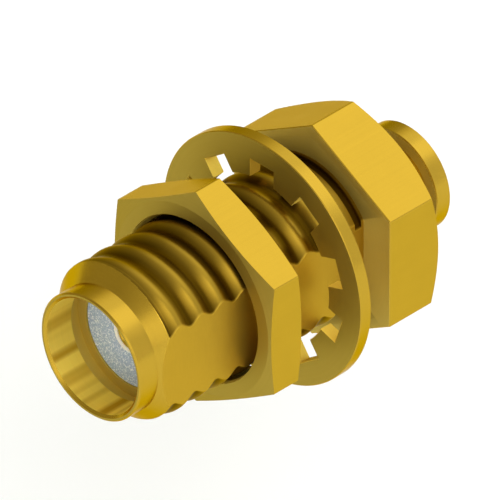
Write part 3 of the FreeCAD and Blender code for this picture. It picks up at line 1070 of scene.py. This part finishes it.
@dataclass
class LockWasher:
    """The flat ring with internal teeth, made as one sector from tooth to tooth and repeated."""

    finish: GoldPlate
    tooth_count: int = 10
    tooth_tip_mm: float = 3.40
    tooth_height_mm: float = 0.70
    gap_width_mm: float = 1.20
    edge_mm: float = 0.03
    arc_points: int = 7
    wall_points: int = 4

    def inner_outline(self, grow_mm: float) -> tuple[np.ndarray, np.ndarray]:
        """Follows the teeth across one sector, centred on the gap at the top.

        Args:
            grow_mm: How far the outline lies inside the metal, for the broken edges.

        Returns:
            The angle and the radius of each point.
        """
        half = self.gap_width_mm / 2 + grow_mm
        tip, root = self.tooth_tip_mm + grow_mm, self.tooth_tip_mm + self.tooth_height_mm + grow_mm
        corner, step = math.asin(half / tip), math.pi / self.tooth_count
        turns = np.linspace(step, corner, self.arc_points)
        tooth = [(math.sin(a) * tip, math.cos(a) * tip) for a in turns]
        rises = np.linspace(math.cos(corner) * tip, root, self.wall_points + 1)[1:]
        wall = [(half, z) for z in rises]
        floor = [(y, root) for y in np.linspace(half, 0, self.wall_points + 1)[1:]]
        right = np.array(tooth + wall + floor)
        left = right[-2::-1] * (-1, 1)
        across, up = np.concatenate((right, left)).T
        return np.arctan2(up, across), np.hypot(across, up)

    def build(self) -> None:
        """Makes one sector, repeats it round the axis and dresses the ring."""
        low, high = box_mm("lock_washer")
        rim = min(high.y, high.z, -low.y, -low.z)
        edge = self.edge_mm
        angle, plain = self.inner_outline(0.0)
        _, broken = self.inner_outline(edge)
        # The gaps are punched; their walls are BORED and painted bright as painted light. The front is
        # FACED, painted olive as painted shade, and the back is SEAT, painted paler as painted light
        stations = [
            Station(high.x, broken, Surface.FACED),
            Station(high.x, rim - edge),
            Station(high.x - edge, rim),
            Station(low.x + edge, rim),
            Station(low.x, rim - edge, Surface.SEAT),
            Station(low.x, broken, Surface.BORED, edged=True),
            Station(low.x + edge, plain, Surface.BORED, edged=True),
            Station(high.x - edge, plain, Surface.BORED, edged=True),
        ]
        corners = (self.arc_points - 1, self.arc_points + self.wall_points - 1)
        crisp = corners + tuple(len(angle) - 1 - c for c in corners)
        piece = Loft("toothed_lock_washer", angle, stations, crisp, closed_round=False).build()
        repeat_tree(self.tooth_count).apply(piece, self.finish.material())
        finish_piece(piece, Body.WASHER, "lock_washer")


@dataclass
class Beads:
    """The two insulating beads that hold the contact in the middle of the bore."""

    finish: Fluoropolymer
    hole_radius_mm: float = 0.645
    mouth_break_mm: float = 0.075
    pocket_radius_mm: float = 1.02
    pocket_depth_mm: float = 0.82
    column_count: int = 96

    def build(self) -> None:
        """Makes both beads and dresses them alike."""
        columns = round_columns(self.column_count)
        front_low, front_high = box_mm("front_insulator")
        rear_low, rear_high = box_mm("rear_insulator")
        pocket_floor = front_low.x + self.pocket_depth_mm
        front = [
            Station(front_high.x, front_high.y),
            Station(front_low.x, front_high.y),
            Station(front_low.x, self.pocket_radius_mm),
            Station(pocket_floor, self.pocket_radius_mm),
            Station(pocket_floor, self.hole_radius_mm, Surface.BORED),
            Station(front_high.x - self.mouth_break_mm, self.hole_radius_mm, Surface.BORED),
            Station(front_high.x, self.hole_radius_mm + self.mouth_break_mm),
        ]
        rear = [
            Station(rear_high.x, rear_high.y),
            Station(rear_low.x, rear_high.y),
            Station(rear_low.x, self.hole_radius_mm),
            Station(rear_high.x, self.hole_radius_mm),
        ]
        material = self.finish.material()
        for name, node, stations in (("front_bead", "front_insulator", front),
                                     ("rear_bead", "rear_insulator", rear)):
            piece = Loft(name, columns, stations).build()
            piece.data.materials.append(material)
            finish_piece(piece, Body.JACK, node)


@dataclass
class CentreContact:
    """The turned contact: a slotted socket, a stop flange and a solder cup."""

    finish: GoldPlate
    radius_mm: float = 0.635
    nose_break_mm: float = 0.04
    socket_depth_mm: float = 2.60
    socket_lead_in_mm: float = 0.06
    slot_width_mm: float = 0.14
    slot_length_mm: float = 2.30
    flange_thickness_mm: float = 0.80
    cup_radius_mm: float = 0.28
    cup_depth_mm: float = 2.00
    cup_lead_in_mm: float = 0.06
    # The cup and the socket are joined by a hole too fine to see, which makes the skin one loft
    hair_radius_mm: float = 0.004
    column_count: int = 64

    def build(self) -> None:
        """Makes the contact as one closed skin, saws its slots and dresses it."""
        low, high = box_mm("centre_contact")
        seat = box_mm("rear_insulator")[1].x
        flange_front = seat + self.flange_thickness_mm
        socket = mount("contact_socket")["dims"]["r_mm"]
        # Half a column round, so that no column lies in the middle of a slot
        columns = round_columns(self.column_count) + math.pi / self.column_count
        stations = [
            Station(high.x, self.radius_mm - self.nose_break_mm),
            Station(high.x - self.nose_break_mm, self.radius_mm),
            Station(flange_front, self.radius_mm),
            Station(flange_front, high.y),
            Station(seat, high.y),
            Station(seat, self.radius_mm),
            Station(low.x, self.radius_mm, Surface.FACED),
            Station(low.x, self.cup_radius_mm + self.cup_lead_in_mm),
            Station(low.x + self.cup_lead_in_mm, self.cup_radius_mm),
            Station(low.x + self.cup_depth_mm, self.cup_radius_mm, Surface.FACED),
            Station(low.x + self.cup_depth_mm, self.hair_radius_mm),
            Station(high.x - self.socket_depth_mm, self.hair_radius_mm, Surface.FACED),
            Station(high.x - self.socket_depth_mm, socket),
            Station(high.x - self.socket_lead_in_mm, socket),
            Station(high.x, socket + self.socket_lead_in_mm, Surface.FACED),
        ]
        piece = Loft("slotted_contact", columns, stations).build()
        slot_tree(high.x, self.slot_length_mm, self.slot_width_mm, self.radius_mm * 2).apply(
            piece, self.finish.material())
        finish_piece(piece, Body.JACK, "centre_contact")


@dataclass
class Softbox:
    """A square soft lamp that looks at the object from a given direction.

    Cycles lets the walls show through a lamp, so its level comes on top of theirs.
    """

    name: str
    direction: tuple[float, float, float]
    level: float
    distance_m: float = 1.2
    side_m: float = 0.6

    def build(self) -> None:
        """Hangs the lamp, its power set so that its face shines at the given level."""
        lamp = bpy.data.lights.new(self.name, "AREA")
        lamp.shape = "SQUARE"
        lamp.size = self.side_m
        lamp.energy = self.level * LAMP_WATTS * self.side_m ** 2
        holder = add_object(self.name, lamp)
        way = Vector(self.direction).normalized()
        holder.location = way * self.distance_m
        holder.rotation_euler = way.to_track_quat("Z", "Y").to_euler()


@dataclass
class Studio:
    """A pale floor, soft lamps, dim walls and the camera of the picture."""

    # The picture is isometric: 22.62 pixels to a millimetre along each axis
    picture_px: int = 500
    axis_px_per_mm: float = 22.62
    # The point of the object that is at the picture's centre
    centre_mm: tuple[float, float, float] = (3.146, 0.0, 0.685)
    # So long a lens that lines stay parallel to a pixel
    lens_mm: float = 1500.0
    sensor_mm: float = 36.0
    view_reach_m: float = 100.0
    floor_mm: float = -16.0
    floor_side_m: float = 24.0
    floor_colour: str = "#F6F9FD"
    # What brings the floor up to white where it is looked at, with its shadow kept
    floor_lift: float = 0.07
    # Brightness of the walls low down on the -Y side and on the +Y side, and of the ceiling
    dim_wall: float = 0.44
    pale_wall: float = 0.88
    ceiling: float = 1.25
    # How fast the walls grow pale towards +Y and towards -X
    side_slope: float = 0.8
    back_slope: float = 0.3
    # The ceiling starts at this height, over a soft edge: lower towards -X and a bit towards +Y
    ceiling_start: float = 0.85
    ceiling_edge: float = 0.22
    ceiling_back_tilt: float = 0.6
    ceiling_side_tilt: float = 0.05
    # Extra brightness of the wall at -X, low down, where it starts and how fast it grows
    back_wall: float = 0.8
    back_start: float = 0.62
    back_growth: float = 4.0
    # The dim wall is a warm cream
    dim_colour: str = "#FFF6D0"

    def camera(self) -> None:
        """Sets the camera on the (1, 1, 1) line through the picture's centre."""
        lens = bpy.data.cameras.new("picture_camera")
        lens.lens, lens.sensor_width, lens.clip_end = self.lens_mm, self.sensor_mm, self.view_reach_m
        width = self.picture_px / (self.axis_px_per_mm / ISOMETRIC) * MM
        distance = width / 2 / (self.sensor_mm / 2 / self.lens_mm)
        way = Vector((1, 1, 1)).normalized()
        holder = add_object("picture_camera", lens)
        holder.location = Vector(self.centre_mm) * MM + way * distance
        holder.rotation_euler = way.to_track_quat("Z", "Y").to_euler()
        bpy.context.scene.camera = holder

    def floor(self) -> None:
        """Lays the pale floor a little under the object, which is held by its panel mount."""
        half = self.floor_side_m / 2
        corners = [(x * half, y * half, self.floor_mm * MM)
                   for x, y in ((-1, -1), (1, -1), (1, 1), (-1, 1))]
        mesh = bpy.data.meshes.new("pale_floor")
        mesh.from_pydata(corners, [], [(0, 1, 2, 3)])
        floor = add_object("pale_floor", mesh)
        material = bpy.data.materials.new("pale_paper")
        tree = empty_tree(material)
        paper = add_node(tree, "ShaderNodeBsdfDiffuse", {"Color": linear(self.floor_colour)})
        ray = add_node(tree, "ShaderNodeLightPath")
        seen = Wire(tree, ray.outputs["Is Camera Ray"]).calc(
            "MAXIMUM", Wire(tree, ray.outputs["Is Glossy Ray"])).calc(
            "MAXIMUM", Wire(tree, ray.outputs["Is Transmission Ray"]))
        lift = add_node(tree, "ShaderNodeEmission", {
            "Color": WHITE, "Strength": seen * self.floor_lift})
        both = add_node(tree, "ShaderNodeAddShader", {0: paper.outputs[0], 1: lift.outputs[0]})
        add_node(tree, "ShaderNodeOutputMaterial", {"Surface": both.outputs[0]})
        mesh.materials.append(material)

    def walls(self) -> None:
        """Colours the world: a bright ceiling, a pale wall on the +Y side and a dim one on the -Y side."""
        world = bpy.data.worlds.new("studio_walls")
        bpy.context.scene.world = world
        tree = empty_tree(world)
        spot = add_node(tree, "ShaderNodeTexCoord")
        split = add_node(tree, "ShaderNodeSeparateXYZ", {0: spot.outputs["Generated"]})
        front, side, up = (Wire(tree, socket) for socket in split.outputs)
        across = (side * self.side_slope - front * self.back_slope + 0.5).clamped()
        height = up + side * self.ceiling_side_tilt - front * self.ceiling_back_tilt
        above = ((height - self.ceiling_start) / self.ceiling_edge).clamped()
        behind = ((front * -1.0 - self.back_start) * self.back_growth).clamped()
        low = across.choose(self.dim_wall, self.pale_wall) + behind * self.back_wall
        level = above.choose(low, self.ceiling)
        paint = add_node(tree, "ShaderNodeMix", {
            0: across.calc("MAXIMUM", above), 6: linear(self.dim_colour), 7: WHITE},
            data_type="RGBA")
        seen = Wire(tree, add_node(tree, "ShaderNodeLightPath").outputs["Is Camera Ray"])
        plain = add_node(tree, "ShaderNodeMix", {0: seen, 6: paint.outputs[2], 7: WHITE},
                         data_type="RGBA")
        shine = add_node(tree, "ShaderNodeBackground", {
            "Color": plain.outputs[2], "Strength": seen.choose(level, 1.0)})
        add_node(tree, "ShaderNodeOutputWorld", {"Surface": shine.outputs[0]})

    def build(self) -> None:
        """Sets up the view, the floor, the walls and the lamps."""
        bpy.context.scene.view_settings.view_transform = "Standard"
        self.camera()
        self.floor()
        self.walls()
        Softbox("overhead_softbox", (-0.58, 0.21, 0.79), level=0.3).build()
        Softbox("side_softbox", (0.81, 0.48, 0.3), level=0.45).build()
        # No outer face mirrors this one to the camera: it fills the bore and lights the bead
        Softbox("front_softbox", (0.42, 0.62, 0.66), level=1.8, distance_m=1.3, side_m=0.9).build()
        # Square to the axis, so it reaches the gaps between the nut, the washer and the hexagon
        Softbox("gap_softbox", (0.05, 0.75, 0.66), level=1.2).build()


def main() -> None:
    """Builds the studio and every piece in order."""
    logging.basicConfig(level=logging.INFO, format="%(name)s: %(message)s")
    Studio().build()
    form = ThreadForm()
    plate = GoldPlate("satin_gold_plate_on_turned_brass")
    # The nut and the washer are plated apart from the jack, and the painted shade in their thread's roots
    # is lighter
    hardware = GoldPlate("satin_gold_plate_on_stamped_brass", root="#9C7F30")
    JackBody(form, plate).build()
    HexNut(form, hardware).build()
    LockWasher(hardware).build()
    Beads(Fluoropolymer("machined_fluoropolymer")).build()
    CentreContact(GoldPlate("satin_gold_plate_on_spring_bronze")).build()


if __name__ == "__main__":
    main()
